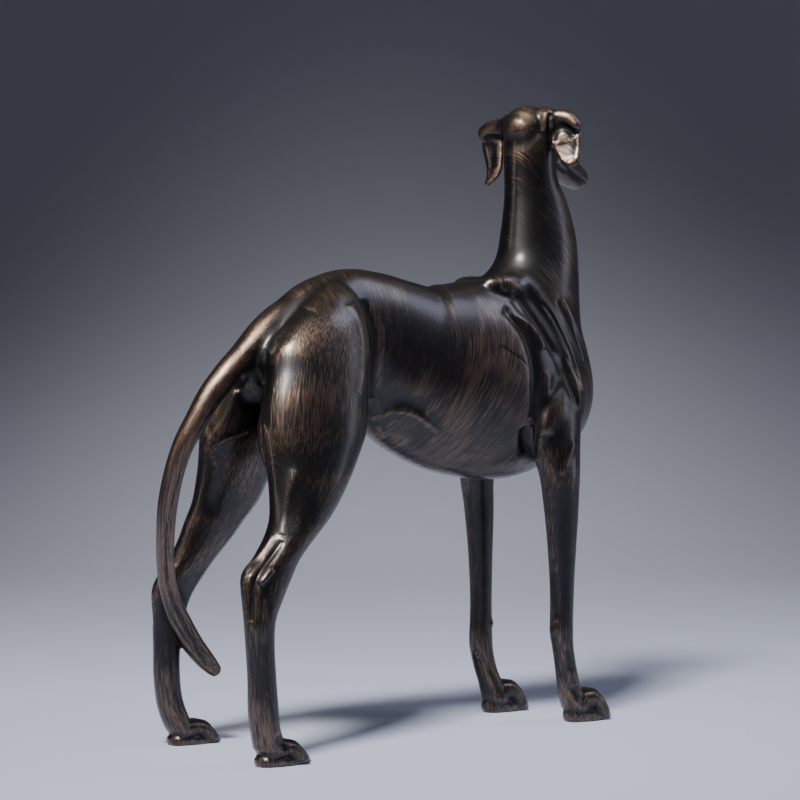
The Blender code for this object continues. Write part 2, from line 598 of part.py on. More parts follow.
passes = (1.2 / GRAIN) ** 2
modifier(dog, "REMESH", mode="VOXEL", voxel_size=GRAIN * MM, use_smooth_shade=True)
modifier(dog, "SMOOTH", factor=0.5, iterations=round(5 * passes))
shape = settled(dog)
group = dog.vertex_groups.new(name="flesh")
bands = {}
for v in shape.vertices:
    bands.setdefault(round(flesh(v.co) * 10), []).append(v.index)
for band, members in bands.items():
    group.add(members, band / 10, "REPLACE")
modifier(dog, "SMOOTH", factor=0.5, iterations=round(28 * passes), vertex_group="flesh")
shape = settled(dog)
carve(shape, both_sides(SHOULDER, LEFT_FORE_STEP) + both_sides(HIND, LEFT_HIND_STEP) + ONCE + face_lines())
triangles = sum(len(p.vertices) - 2 for p in shape.polygons)
modifier(dog, "DECIMATE", ratio=FACETS / triangles, use_collapse_triangulate=True)
shape = settled(dog)
grind_soles(shape)
dog.vertex_groups.clear()
shape.materials.clear()
shape.materials.append(dark_bronze())
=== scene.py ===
import json
import math

import bmesh
import bpy
import numpy as np
from mathutils import Matrix, Vector
from mathutils.bvhtree import BVHTree

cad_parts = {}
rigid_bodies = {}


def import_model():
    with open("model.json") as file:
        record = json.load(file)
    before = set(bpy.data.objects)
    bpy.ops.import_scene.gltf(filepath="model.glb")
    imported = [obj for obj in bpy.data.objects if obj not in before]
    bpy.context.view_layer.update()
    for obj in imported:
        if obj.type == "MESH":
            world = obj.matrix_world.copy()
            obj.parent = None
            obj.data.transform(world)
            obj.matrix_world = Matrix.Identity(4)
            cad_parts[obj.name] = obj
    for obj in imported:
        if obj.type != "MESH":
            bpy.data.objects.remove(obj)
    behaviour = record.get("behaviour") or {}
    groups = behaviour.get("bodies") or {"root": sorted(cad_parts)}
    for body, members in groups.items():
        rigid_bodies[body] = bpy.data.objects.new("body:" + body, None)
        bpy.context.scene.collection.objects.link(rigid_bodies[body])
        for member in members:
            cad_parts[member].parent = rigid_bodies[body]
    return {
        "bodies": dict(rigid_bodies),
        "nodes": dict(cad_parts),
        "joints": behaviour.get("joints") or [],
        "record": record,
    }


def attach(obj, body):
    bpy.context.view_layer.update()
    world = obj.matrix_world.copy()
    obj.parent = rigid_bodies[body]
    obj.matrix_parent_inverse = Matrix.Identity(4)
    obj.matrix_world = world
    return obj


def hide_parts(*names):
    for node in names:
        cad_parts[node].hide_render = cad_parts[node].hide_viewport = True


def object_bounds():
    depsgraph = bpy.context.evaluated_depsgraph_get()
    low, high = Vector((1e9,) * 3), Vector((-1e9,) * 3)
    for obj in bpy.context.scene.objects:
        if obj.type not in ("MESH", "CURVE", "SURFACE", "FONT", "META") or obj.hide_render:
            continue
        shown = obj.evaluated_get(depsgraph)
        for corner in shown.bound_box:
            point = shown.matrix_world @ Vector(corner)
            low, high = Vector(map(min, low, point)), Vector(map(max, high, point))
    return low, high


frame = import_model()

cad_low, cad_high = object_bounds()

# The view.
# The photograph was taken level, from behind the dog's right hip, through a long lens.
lens = bpy.data.cameras.new("view")
lens.sensor_width = 36
lens.lens = 103.7
lens.clip_start = 0.05
view = bpy.data.objects.new("view", lens)
view.location = (-0.82867, -0.95649, 0.18225)
view.rotation_euler = (math.radians(90), 0, math.radians(-40.69))
bpy.context.scene.collection.objects.link(view)
bpy.context.scene.camera = view


# The floor and backdrop.
# One wide sheet of matt pale paper: it lies flat under the statue and curves up into a grey wall all round.
def linear(code):
    """sRGB hex colour as linear RGBA."""
    parts = [int(code[k:k + 2], 16) / 255 for k in (1, 3, 5)]
    return (*[c / 12.92 if c <= 0.04045 else ((c + 0.055) / 1.055) ** 2.4 for c in parts], 1)


def add_node(tree, kind, inputs=(), **settings):
    """One shader node: settings are its properties, inputs go to its sockets by name or number."""
    made = tree.nodes.new(kind)
    for name, value in settings.items():
        setattr(made, name, value)
    for name, value in dict(inputs).items():
        if isinstance(value, bpy.types.NodeSocket):
            tree.links.new(value, made.inputs[name])
        else:
            made.inputs[name].default_value = value
    return made


SHEET_FLAT = 1.2  # radius of the flat part, m
SHEET_BEND = 1.5  # radius of the curve up, m
SHEET_WALL = 1.0  # height of the wall above the curve, m
bm = bmesh.new()
line = [(0, 0), (SHEET_FLAT / 2, 0), (SHEET_FLAT, 0)]
for k in range(1, 13):
    turn = math.radians(90 * k / 12)
    line.append((SHEET_FLAT + SHEET_BEND * math.sin(turn), SHEET_BEND * (1 - math.cos(turn))))
line.append((SHEET_FLAT + SHEET_BEND, SHEET_BEND + SHEET_WALL))
points = [bm.verts.new((x, 0, z)) for x, z in line]
edges = [bm.edges.new(pair) for pair in zip(points, points[1:])]
bmesh.ops.spin(bm, geom=points + edges, cent=(0, 0, 0), axis=(0, 0, 1),
               angle=math.tau, steps=96, use_merge=True)
bmesh.ops.remove_doubles(bm, verts=bm.verts, dist=0.0001)
bmesh.ops.recalc_face_normals(bm, faces=bm.faces)
mesh = bpy.data.meshes.new("paper_sheet")
bm.to_mesh(mesh)
bm.free()
mesh.shade_smooth()
paper_sheet = bpy.data.objects.new("paper_sheet", mesh)
bpy.context.scene.collection.objects.link(paper_sheet)

paper = bpy.data.materials.new("matt_paper")
paper.use_nodes = True
tree = paper.node_tree
shader = tree.nodes["Principled BSDF"]
shader.inputs["Base Color"].default_value = linear("#a3acc1")
shader.inputs["Roughness"].default_value = 0.8
shader.inputs["Specular IOR Level"].default_value = 0.2
# Painted light: the paper glows by itself in a soft oval pool of light on the sweep behind the statue; no
# lamp makes it, the pool is painted in as emission.
at = add_node(tree, "ShaderNodeTexCoord").outputs["Object"]
at = add_node(tree, "ShaderNodeMapping", {
    "Vector": at, "Location": (0.98, 1.16, 0.05), "Rotation": (0, 0, math.radians(-40.7)),
    "Scale": (0.75, 1.3, 1.7)}, vector_type="TEXTURE").outputs[0]
away = add_node(tree, "ShaderNodeVectorMath", {0: at}, operation="LENGTH").outputs["Value"]
painted_light_pool = add_node(tree, "ShaderNodeMapRange", {
    "Value": away, "From Min": 0.0, "From Max": 1.0, "To Min": 0.23, "To Max": 0.0},
    interpolation_type="SMOOTHSTEP").outputs[0]
# painted glow: the colour of the paper's own painted light, strongest in the oval's middle and fading out
# from there
shader.inputs["Emission Color"].default_value = linear("#f4f4ff")
tree.links.new(painted_light_pool, shader.inputs["Emission Strength"])
mesh.materials.append(paper)


# The lights.
# A warm softbox behind the camera's left shoulder and a weak cool one above the dog's right shoulder.
# Two tall strips edge the tail and the chest.
def softbox(name, spot, aim, size, watts, cone, colour):
    """Rectangular soft light at spot, facing aim; cone is how wide it shines, in degrees."""
    lamp = bpy.data.lights.new(name, "AREA")
    lamp.shape = "RECTANGLE"
    lamp.size, lamp.size_y = size
    lamp.energy = watts
    lamp.spread = math.radians(cone)
    lamp.color = linear(colour)[:3]
    box = bpy.data.objects.new(name, lamp)
    box.location = spot
    box.rotation_mode = "QUATERNION"
    box.rotation_quaternion = (Vector(aim) - Vector(spot)).to_track_quat("-Z", "Y")
    bpy.context.scene.collection.objects.link(box)


MIDDLE = (0, 0, 0.2)  # the lights aim at the dog's belly
softbox("key", (-1.12, -0.66, 1.8), MIDDLE, (0.42, 0.42), 12.5, 60, "#fff8f2")
softbox("rib_fill", (0.85, -0.55, 1.25), MIDDLE, (0.6, 0.6), 2, 110, "#dfe4ff")
softbox("tail_strip", (-1.5, 0.55, 0.5), MIDDLE, (0.12, 1.2), 1.5, 120, "#fff0dc")
softbox("chest_strip", (1.3, -0.7, 0.5), MIDDLE, (0.3, 1.2), 1.3, 120, "#e8ecff")
world = bpy.data.worlds.new("room")
world.use_nodes = True
world.node_tree.nodes["Background"].inputs["Color"].default_value = linear("#ab9f96")
world.node_tree.nodes["Background"].inputs["Strength"].default_value = 0.38
bpy.context.scene.world = world


# The dog.
# One hollow casting: trunk, neck, legs, tail and head run together and are chased, then patinated and waxed.
# The forms are rows of ovals in millimetres, before the soles are ground and the statue is centred.
MM = 0.001
GRAIN = 0.8  # cell of the joined surface
FACETS = 192000  # triangles kept
SOLE = 0.9  # the feet are ground flat this far up
# Trunk, tail end first: x, top, bottom, half width
TRUNK = [
    (-98, 218, 190, 8),
    (-90, 226, 187, 12),
    (-80, 235, 183, 16),
    (-65, 245, 177, 20),
    (-40, 253.5, 175, 20.5),
    (-22, 253, 174, 21.5),
    (-12, 252, 168.5, 23),
    (-2, 250.8, 160.5, 25),
    (8, 249.5, 152.5, 27),
    (30, 249, 143, 31),
    (55, 251, 138.5, 33),
    (78, 251, 138.5, 32),
    (96, 246, 142, 29),
    (108, 238, 150, 23),
]
# Breastbone up to the nape, level ovals: x, y, z, half length, half width
NECK = [
    (90, 0, 149, 20, 14),
    (94, 0, 156, 30, 20),
    (98, 0, 167, 37.5, 24.5),
    (100, 0, 181, 41, 27.5),
    (100, 0, 195, 41, 28.5),
    (99, 0, 210, 38, 27.5),
    (97.3, 0, 225, 34.8, 25.6),
    (97, 0, 240, 34.4, 24),
    (98.8, 0, 250, 33, 22.4),
    (104, 0, 264, 27.2, 20),
    (105.1, 0, 275.5, 25.7, 18.2),
    (104.5, 0, 287, 23.4, 16.6),
    (102.9, 0, 298.5, 20.5, 15),
    (99.5, 0, 310, 16.9, 13.9),
    (98.5, 0, 318, 16, 14.2),
    (98, 0, 327, 15.4, 14.6),
    (97.6, 0, 336, 13.6, 14.2),
    (97.4, 0, 342, 11, 12),
]
# Legs as level ovals from the body down
RIGHT_HIND = [
    (-54, -10, 243, 8, 5),
    (-57, -13, 237, 15, 8),
    (-64.1, -17, 225, 23.6, 12.5),
    (-70.5, -19, 211.8, 30.5, 15.5),
    (-73.6, -21, 198.7, 31.2, 17),
    (-77.8, -24, 183.2, 32.3, 17.5),
    (-80.6, -26.5, 167.7, 32.2, 17),
    (-84.7, -29, 152.3, 27.9, 15.5),
    (-88, -31, 142.2, 24.4, 14.5),
    (-92.2, -33, 132.1, 21, 13),
    (-97.7, -35, 122.2, 17.5, 11.5),
    (-106.4, -37, 112.4, 14.5, 10.5),
    (-115.9, -39, 102.9, 14, 9.2),
    (-122, -40.5, 96.5, 15.6, 8.3),
    (-125.3, -41.8, 88.5, 13.5, 7.8),
    (-127.5, -42.8, 81, 11, 7.3),
    (-129.7, -44, 73, 8.6, 7),
    (-129.4, -44, 60, 7.6, 6.8),
    (-128.3, -44, 44.1, 7.5, 7),
    (-127.5, -44, 29.1, 8, 7.5),
    (-126.3, -44, 19.1, 7.6, 8),
    (-123.5, -44, 10, 8.5, 8.5),
]
LEFT_HIND = [
    (-46, 10, 240, 8, 5),
    (-48, 13, 234, 13, 7.5),
    (-54, 16, 225, 20, 10),
    (-60.1, 19, 212.7, 26.5, 13.5),
    (-70.6, 21, 199.2, 30.5, 16),
    (-77.4, 24, 183.2, 31, 17),
    (-83.2, 26.5, 167.2, 29.6, 17),
    (-86.9, 28.2, 156.5, 25.7, 16),
    (-89.9, 30, 145.9, 22.5, 14.8),
    (-93.7, 33, 130, 20.2, 12.5),
    (-99.5, 35, 119.5, 17.9, 11.5),
    (-105, 37, 109, 15.7, 10.5),
    (-112, 39, 98.6, 13.6, 9.5),
    (-118.5, 40.8, 89.3, 13.9, 8.4),
    (-121.5, 42, 83, 12.8, 7.8),
    (-122.6, 43, 77, 11, 7.4),
    (-123.3, 44, 67.2, 9, 7),
    (-124.3, 44, 53, 7.4, 6.8),
    (-124.3, 44, 38, 7.1, 7),
    (-122.6, 44, 25, 7.2, 7.3),
    (-118.4, 44, 14.1, 7.6, 8.1),
    (-115, 44, 8.5, 7.8, 8.5),
]
RIGHT_FORE = [
    (100, -17, 205, 20, 10),
    (97, -21, 188, 20, 11),
    (94, -24.5, 170, 18.5, 11),
    (93.2, -27, 154, 16.5, 10),
    (94, -29, 140, 13.6, 8.8),
    (94.9, -29, 126.7, 12.2, 7.7),
    (95.4, -29, 115.4, 11.2, 7),
    (95.6, -29, 104, 10, 6.5),
    (95.7, -29, 81.5, 8.2, 5.8),
    (95.4, -29, 60, 7.4, 5.8),
    (95.2, -29, 53.3, 7.6, 6),
    (96, -29, 45.5, 6.4, 6.1),
    (97.8, -29, 36.1, 5.9, 6.4),
    (100.2, -29, 24.6, 6, 7),
    (102.8, -29, 16, 6.6, 7.8),
    (106, -29, 9, 7.5, 8.5),
]
LEFT_FORE = [
    (95, 17, 205, 20, 10),
    (91, 21, 188, 19, 11),
    (86, 24.5, 170, 17, 11),
    (83.5, 27, 152, 13.6, 9.8),
    (83.4, 28.5, 137, 10.9, 8.5),
    (85, 29, 125, 10, 7.5),
    (85.8, 29, 113.4, 9.2, 7),
    (86.5, 29, 95, 7.9, 6.3),
    (86.9, 29, 72, 7, 5.8),
    (86.9, 29, 55.2, 7.1, 5.8),
    (86.8, 29, 43.6, 7.7, 6),
    (87.8, 29, 36, 7.3, 6.1),
    (91, 29, 26, 6.9, 6.5),
    (94.8, 29, 18, 7.2, 7.2),
    (98.5, 29, 9, 8, 8.5),
]
# Tail, cast against the left hock: x, y, z, radius
TAIL = [
    (-70, 0, 231, 10),
    (-83, 0, 224.5, 10),
    (-94.5, 0, 216.5, 9.3),
    (-106, 0, 206.5, 8),
    (-117.5, 0.5, 196, 7.2),
    (-127, 2, 184.8, 6.6),
    (-134, 3.5, 173, 6.1),
    (-140, 6, 161.3, 5.6),
    (-143.2, 10, 147, 5.3),
    (-143.6, 15.5, 129.4, 5.2),
    (-141.2, 21, 112.2, 4.8),
    (-137.3, 26.5, 99.5, 4.8),
    (-132.8, 30.7, 87.3, 4.9),
    (-127.6, 33, 76, 5.2),
    (-122, 34, 66, 5.8),
    (-114.2, 34, 54.2, 5.7),
    (-106.2, 33.2, 45, 5),
    (-101, 32.4, 39.8, 3.6),
]


def smooth_rows(stations, step):
    """Rows about every step mm along a smooth path through the stations."""
    rows = [Vector(s) for s in stations]
    rows = [2 * rows[0] - rows[1], *rows, 2 * rows[-1] - rows[-2]]
    found = []
    for a, b, c, d in zip(rows, rows[1:], rows[2:], rows[3:]):
        parts = max(1, round((c - b).length / step))
        for k in range(parts):
            t = k / parts
            curve = 2 * b + (c - a) * t + (2 * a - 5 * b + 4 * c - d) * t * t
            found.append(0.5 * (curve + (3 * b - a - 3 * c + d) * t ** 3))
    found.append(rows[-2])
    return found


def placed(centre, up, side, along, deep, wide):
    """Matrix that turns a unit circle into an oval ring."""
    turn = Matrix((up, side, along)).transposed().to_4x4()
    return Matrix.Translation(centre) @ turn @ Matrix.Diagonal((max(deep, 0.2), max(wide, 0.2), 1, 1))


def domed(frames, rows, reach):
    """Add rounded ends to a run of rings."""
    def cap(frame, row, away):
        size = reach * min(row[3], row[4])
        made = []
        for angle in (25, 50, 72):
            c, s = math.cos(math.radians(angle)), math.sin(math.radians(angle))
            made.append(Matrix.Translation(away * size * s) @ frame @ Matrix.Diagonal((c, c, 1, 1)))
        return made

    ahead = (frames[1].translation - frames[0].translation).normalized()
    behind = (frames[-1].translation - frames[-2].translation).normalized()
    return cap(frames[0], rows[0], -ahead)[::-1] + frames + cap(frames[-1], rows[-1], behind)


def skin(bm, frames, sides):
    """Closed surface through a run of rings."""
    made = bmesh.ops.create_circle(bm, cap_ends=False, radius=1, segments=sides, matrix=frames[0])
    edges = list({e for v in made["verts"] for e in v.link_edges})
    first = edges
    for a, b in zip(frames, frames[1:]):
        new = bmesh.ops.extrude_edge_only(bm, edges=edges)["geom"]
        verts = {g for g in new if isinstance(g, bmesh.types.BMVert)}
        edges = [g for g in new if isinstance(g, bmesh.types.BMEdge) and all(v in verts for v in g.verts)]
        bmesh.ops.transform(bm, matrix=b @ a.inverted(), verts=list(verts))
    bmesh.ops.contextual_create(bm, geom=first)
    bmesh.ops.contextual_create(bm, geom=edges)


def tube(bm, stations, across=(0, 1, 0), step=4, sides=24, reach=0.7):
    """Rounded form along a path: x, y, z, half depth, half width; the width lies along across."""
    rows = smooth_rows(stations, step)
    frames = []
    for k, row in enumerate(rows):
        along = Vector(rows[min(k + 1, len(rows) - 1)][:3]) - Vector(rows[max(k - 1, 0)][:3])
        along.normalize()
        side = Vector(across)
        side = (side - side.dot(along) * along).normalized()
        frames.append(placed(Vector(row[:3]), along.cross(side), side, along, row[3], row[4]))
    skin(bm, domed(frames, rows, reach), sides)


def column(bm, stations, step=4, sides=32, reach=0.5):
    """Standing form of level ovals: x, y, z, half length, half width."""
    x, y, z = Vector((1, 0, 0)), Vector((0, 1, 0)), Vector((0, 0, 1))
    rows = smooth_rows(stations, step)
    frames = [placed(Vector(r[:3]), x, y, z, r[3], r[4]) for r in rows]
    skin(bm, domed(frames, rows, reach), sides)


def ball(bm, centre, radii, tip=0):
    """Ellipsoid; tip turns it about the cross axis."""
    place = Matrix.Translation(centre) @ Matrix.Rotation(math.radians(tip), 4, "Y")
    bmesh.ops.create_uvsphere(bm, u_segments=24, v_segments=16, radius=1,
                              matrix=place @ Matrix.Diagonal((*radii, 1)))


def muscle(bm, start, end, deep, wide, across=(0, 1, 0)):
    """Long belly of flesh, thickest in the middle."""
    a, b = Vector(start), Vector(end)
    rows = []
    for k in range(9):
        t = k / 8
        swell = max(math.sin(math.pi * t), 0.02) ** 0.75
        rows.append((*a.lerp(b, t), deep * swell, wide * swell))
    tube(bm, rows, across, step=6, sides=20)


form = bmesh.new()
tube(form, [(x, 0, (top + low) / 2, (top - low) / 2, wide) for x, top, low, wide in TRUNK], sides=48)
for limb in (NECK, RIGHT_HIND, LEFT_HIND, RIGHT_FORE, LEFT_FORE):
    column(form, limb, sides=40)
tube(form, [(x, y, z, r, r) for x, y, z, r in TAIL], sides=24)

# Shoulder blades, upper arms, rump and the male parts
for s in (-1, 1):
    out = (0.2, s, 0)
    muscle(form, (60, 13 * s, 250), (112, 24 * s, 188), 15, 9, out)
    muscle(form, (112, 20 * s, 212), (102, 27 * s, 160), 14, 9, out)
    muscle(form, (104, 26 * s, 196), (78, 29 * s, 152), 13, 8, out)
    ball(form, (70, 12 * s, 244.5), (20, 9, 8.5), 12)
    ball(form, (-87, 9 * s, 201), (16, 10, 19))
muscle(form, (-86, 0, 194), (-90, -1, 143), 9.5, 7)


# Paws: four arched toes with claws on a flat sole
PAWS = [(113.6, -29.4, 1.06), (105, 29.4, 1.06), (-116.6, -44, 0.76), (-108, 44, 0.76)]
TOES = (-6.9, -2.45, 2.45, 6.9)


def add(bm, piece, place):
    """Put a piece made at the origin into the body."""
    piece.transform(place)
    mesh = bpy.data.meshes.new("piece")
    piece.to_mesh(mesh)
    piece.free()
    bm.from_mesh(mesh)
    bpy.data.meshes.remove(mesh)


def add_paw(bm, x, y, arch):
    """Four arched toes with claws on a flat sole."""
    paw = bmesh.new()
    for k, off in enumerate(TOES):
        ahead = 2.2 if k in (1, 2) else 0
        tube(paw, [
            (-9, off * 0.55, 9.5, 4.2, 3.2),
            (-3.5 + ahead / 2, off * 0.8, 13 + ahead / 2, 4.3, 3.1),
            (2.6 + ahead, off * 0.95, 12.4 + ahead / 2, 4.1, 2.9),
            (7 + ahead, off * 1.02, 7.6, 4, 2.7),
            (9.6 + ahead, off * 1.04, 4, 3.4, 2.6),
        ], step=2.5, sides=16)
        tube(paw, [
            (8.5 + ahead, off * 1.04, 4.8, 2.6, 1.8),
            (11.4 + ahead, off * 1.05, 3.6, 2, 1.5),
            (12.9 + ahead, off * 1.06, 2.6, 1.5, 1.1),
        ], step=2, sides=12)
    pad = [(-11, 0, 4.2, 5.2, 6.2), (-6, 0, 4.8, 6.2, 7.8), (1, 0, 4.2, 6, 8.6), (7, 0, 3, 4.5, 8)]
    tube(paw, pad, step=3)
    add(bm, paw, Matrix.Translation((x, y, 0)) @ Matrix.Diagonal((1, 1, arch, 1)))


for x, y, arch in PAWS:
    add_paw(form, x, y, arch)

# Head, along its own nose line from the skull's middle: x, z, half depth, half width
HEAD_AT = (97, 0.5, 335)
HEAD_ROLL, HEAD_PITCH, HEAD_YAW = -3.5, 9, 16  # degrees
NAPE = (80, -1, 322)
HEAD = [
    (-10, -1, 10, 10),
    (-5, 1.5, 14.2, 13.5),
    (4, 2.2, 16, 15),
    (14, 0.5, 14.6, 13.6),
    (23, -3.2, 11.6, 11),
    (33, -5.6, 9.2, 8.6),
    (46, -7.4, 7.8, 7.2),
    (57, -9, 7, 6.2),
    (64, -9.8, 6, 5.2),
]
JAW = [(6, -9, 6, 7.5), (18, -11.5, 5.6, 7), (32, -13, 4.8, 6), (48, -14.4, 4, 5), (59, -15, 3.2, 4)]
# Each ear is a rolled fold standing out from the skull and a flap that hangs from it:
# x, y, z, half depth, half width
RIGHT_ROLL = [
    (1, -8, 6, 5, 5),
    (2, -14, 8.6, 5, 4.8),
    (3.5, -19, 9.6, 4.8, 4.6),
    (5, -24.5, 8.2, 4.4, 4.4),
    (6, -28.6, 4, 3.2, 3.6),
]
RIGHT_FLAP = [
    (6, -21.8, 12, 2.4, 5),
    (6, -21.9, 6.2, 2.8, 8.6),
    (6, -21.8, 1.7, 2.6, 9.2),
    (6, -22.2, -2.7, 2.4, 9),
    (6, -23.5, -8.7, 2.2, 7.8),
    (6, -25.4, -14.6, 2, 6.2),
    (6, -27.3, -18.4, 1.8, 4),
]
LEFT_ROLL = [
    (0, 8, 6, 5.6, 5),
    (0.5, 15, 7, 5.6, 5),
    (1, 21, 7.2, 5.6, 5),
    (1.5, 26, 6.8, 5.6, 4.8),
    (2, 30, 5.2, 5.2, 4.4),
]
LEFT_FLAP = [
    (4, 25.5, 8, 2.6, 6),
    (4, 26.2, 3, 2.8, 8),
    (4, 25.6, -1, 2.6, 8.4),
    (4, 24.6, -6.5, 2.4, 7.8),
    (4, 23.8, -12.4, 2.2, 7),
    (4, 24.2, -18, 2, 6),
    (3.5, 26.4, -22.5, 1.8, 4),
    (3, 28, -25, 1.6, 2.2),
]


def head_place():
    """Where the head sits: its turn to the left, its nod and its tilt."""
    turn = Matrix.Identity(4)
    for angle, axis in ((HEAD_YAW, "Z"), (HEAD_PITCH, "Y"), (HEAD_ROLL, "X")):
        turn = turn @ Matrix.Rotation(math.radians(angle), 4, axis)
    return Matrix.Translation(HEAD_AT) @ turn


def add_head(bm):
    """Long narrow head with folded ears, turned to the dog's left."""
    head = bmesh.new()
    tube(head, [(x, 0, z, deep, wide) for x, z, deep, wide in HEAD], sides=28, reach=0.6)
    tube(head, [(x, 0, z, deep, wide) for x, z, deep, wide in JAW], sides=20)
    ball(head, (65.5, 0, -7.8), (3.4, 4, 3.2))
    for s in (-1, 1):
        ball(head, (1, 11.5 * s, 6.9 - 0.6 * s), (9, 7, 8.5))
        ball(head, (13, 8.5 * s, -5), (11, 6, 8.5), 15)
        ball(head, (22, 8.2 * s, 2.2), (5, 3.2, 3.2))
    right = (RIGHT_ROLL, RIGHT_FLAP, (0.5, -0.87, 0))
    left = (LEFT_ROLL, LEFT_FLAP, (0.25, 0.97, 0))
    for roll, flap, across in (right, left):
        tube(head, roll, (1, 0, 0), 3, 20, 0.8)
        tube(head, flap, across, 3, 24, 0.8)
    add(bm, head, head_place())


add_head(form)

# Folds and hollows on the skin: width, height (less than 0 is a hollow), line on the right side.
# SHOULDER and HIND have twins on the left, moved by the steps below; those in ONCE have none.
SHOULDER = [
    (4.2, 1.1, [(57.5, -18.5, 246), (64, -18, 251), (74.5, -13.5, 253), (78, -18, 249.5), (82.5, -21, 244),
        (86.5, -23, 237.5), (91, -24.5, 229.5), (95.5, -26, 221.5), (99, -27, 213.5), (103.5, -27.5, 206),
        (106, -30, 197), (109.5, -31.5, 187.5)]),
    (2.8, -1.3, [(66.5, -20.5, 244.5), (71.5, -21.5, 238), (75, -24.5, 231.5), (79, -26.5, 225),
        (83, -28.5, 218.5), (87.5, -29, 212), (92, -29.5, 205.5), (98, -29.5, 196.5), (101, -32, 187.5),
        (104, -33, 182)]),
    (1.2, -0.9, [(84.5, -22.5, 239), (88, -23.5, 235), (92, -24.5, 230), (95.5, -25.5, 224),
        (99.5, -26.5, 217), (103, -27, 210.5), (106, -28, 202.5), (107.5, -30.5, 194.5)]),
    (2.4, -0.6, [(65, -20, 240), (67.5, -23.5, 234), (71.5, -26, 229), (76, -27.5, 224)]),
    (2.8, 1.3, [(58, -24.5, 232.5), (63, -26, 229), (69.5, -27, 226), (74.5, -28, 222.5),
        (78, -29.5, 217.5), (81, -30, 211.5)]),
    (3.6, -2.2, [(55, -23.5, 234), (59.5, -25.5, 230.5), (63.5, -27.5, 225.5), (67, -29.5, 219.5),
        (69.5, -31, 212.5), (71, -32, 205.5), (72, -32.5, 197), (72, -32, 187.5), (72.5, -31, 178.5),
        (72, -29.5, 172)]),
    (1.4, -0.9, [(96.5, -24, 240), (100, -24.5, 235), (104, -24.5, 229), (108, -24.5, 222.5),
        (111.5, -25, 215.5), (115, -25, 209.5), (117.5, -25, 204.5)]),
    (2.2, 0.7, [(101, -23.5, 241), (105.5, -23.5, 235), (110, -23, 229), (115, -22.5, 222.5),
        (119.5, -22, 215.5), (123, -21.5, 208)]),
    (2.2, 1, [(88, -29.5, 210), (93, -29, 204.5), (97, -29.5, 198), (98.5, -31.5, 190), (100.5, -33, 182)]),
    (1.8, 0.8, [(97.5, -28, 207), (101.5, -28.5, 200), (103, -31, 193), (105.5, -32.5, 185),
        (106.5, -32.5, 179.5)]),
    (4.5, 1, [(82, -31.5, 199), (81.5, -31, 186), (79.5, -32.5, 175), (80, -33.5, 163.5)]),
    (1.4, 1, [(71.5, -29, 169), (73.5, -27.5, 164), (75, -25, 158.5), (78, -24, 153), (78.5, -26.5, 148)]),
    (3, -1.5, [(66, -29, 168), (68.5, -26, 161), (74, -22, 153.5)]),
    (2.2, 0.6, [(99, -36, 160), (95, -37, 154), (90.5, -37.5, 147.5), (88, -37, 140.5)]),
    (0.8, -0.2, [(46, -30.5, 213), (51.5, -31.5, 210.5), (55.5, -32, 208), (62, -32.5, 205),
        (67, -32.5, 200)]),
    (2, 0.9, [(-26, -6.5, 172), (-22, -13.5, 175.5), (-15.5, -18, 177), (-7, -20.5, 175), (1.5, -21, 170),
        (9, -21, 165)]),
    (5, -0.9, [(-26.5, -14, 182), (-19.5, -18.5, 184), (-10.5, -21.5, 182.5), (0, -23.5, 178.5)]),
    (7, -0.8, [(-20, -8, 166), (-14.5, -13.5, 167.5), (-6, -16, 165.5), (4.5, -16, 159)]),
    (1.7, -0.8, [(87, -29.5, 88.5), (88, -30.5, 77.5), (88.5, -31.5, 67.5), (89, -32, 58.5)]),
    (1.9, 0.8, [(88, -28, 53.5), (88, -29.5, 52.5), (88.5, -31.5, 51.5)]),
    (1.8, -0.6, [(94, -34.5, 43.5), (95.5, -35, 37), (96.5, -35, 30)]),
    (1.6, 0.6, [(93.5, -29.5, 27.5), (95.5, -31.5, 21.5), (98.5, -34.5, 14.5), (102, -36.5, 10.5)]),
    (2.2, -1.2, [(99, -36, 22), (101.5, -36.5, 16.5), (106, -37, 13)]),
]
HIND = [
    (5, -1.1, [(-79.5, -17.5, 231), (-89, -18.5, 223.5), (-97.5, -19.5, 215.5), (-101.5, -15.5, 208)]),
    (4, 0.9, [(-55, -23.5, 233.5), (-52.5, -27, 226), (-51.5, -30, 216.5), (-53, -32.5, 206),
        (-56, -35.5, 195.5), (-60.5, -38.5, 185)]),
    (2.4, -1.5, [(-42, -17, 236), (-38.5, -19.5, 227.5), (-36, -20.5, 218), (-35, -20.5, 207.5),
        (-34, -18.5, 196), (-32, -13.5, 184)]),
    (1.2, 0.6, [(-102, -13.5, 202.5), (-101.5, -10.5, 193.5), (-90, 6.5, 183), (-112, -23.5, 170.5),
        (-112.5, -26, 155.5)]),
    (2.6, -0.5, [(-103.5, -18.5, 201), (-107, -21.5, 191), (-110.5, -24.5, 180.5), (-112.5, -28, 168)]),
    (1.8, 0.9, [(-117.5, -39.5, 116), (-124.5, -40, 108), (-131, -39, 102), (-136.5, -40, 97.5)]),
    (1.8, -1.4, [(-116, -44.5, 113), (-123, -45, 106), (-130, -46, 99.5), (-134.5, -46.5, 92.5),
        (-136.5, -46.5, 84.5), (-137.5, -47, 73.5)]),
    (1.6, 1.1, [(-124.5, -48, 99.5), (-128.5, -48, 96), (-132.5, -47.5, 92)]),
    (1.3, 0.5, [(-130, -49.5, 85.5), (-132, -50.5, 74.5), (-132.5, -50.5, 62.5)]),
    (3, 0.8, [(-104.5, -40.5, 148), (-109, -40, 135.5), (-111.5, -40.5, 125.5), (-115, -43, 115.5)]),
    (2, -1.1, [(-125, -52, 17), (-122, -52, 12), (-118, -52.5, 9.5)]),
]
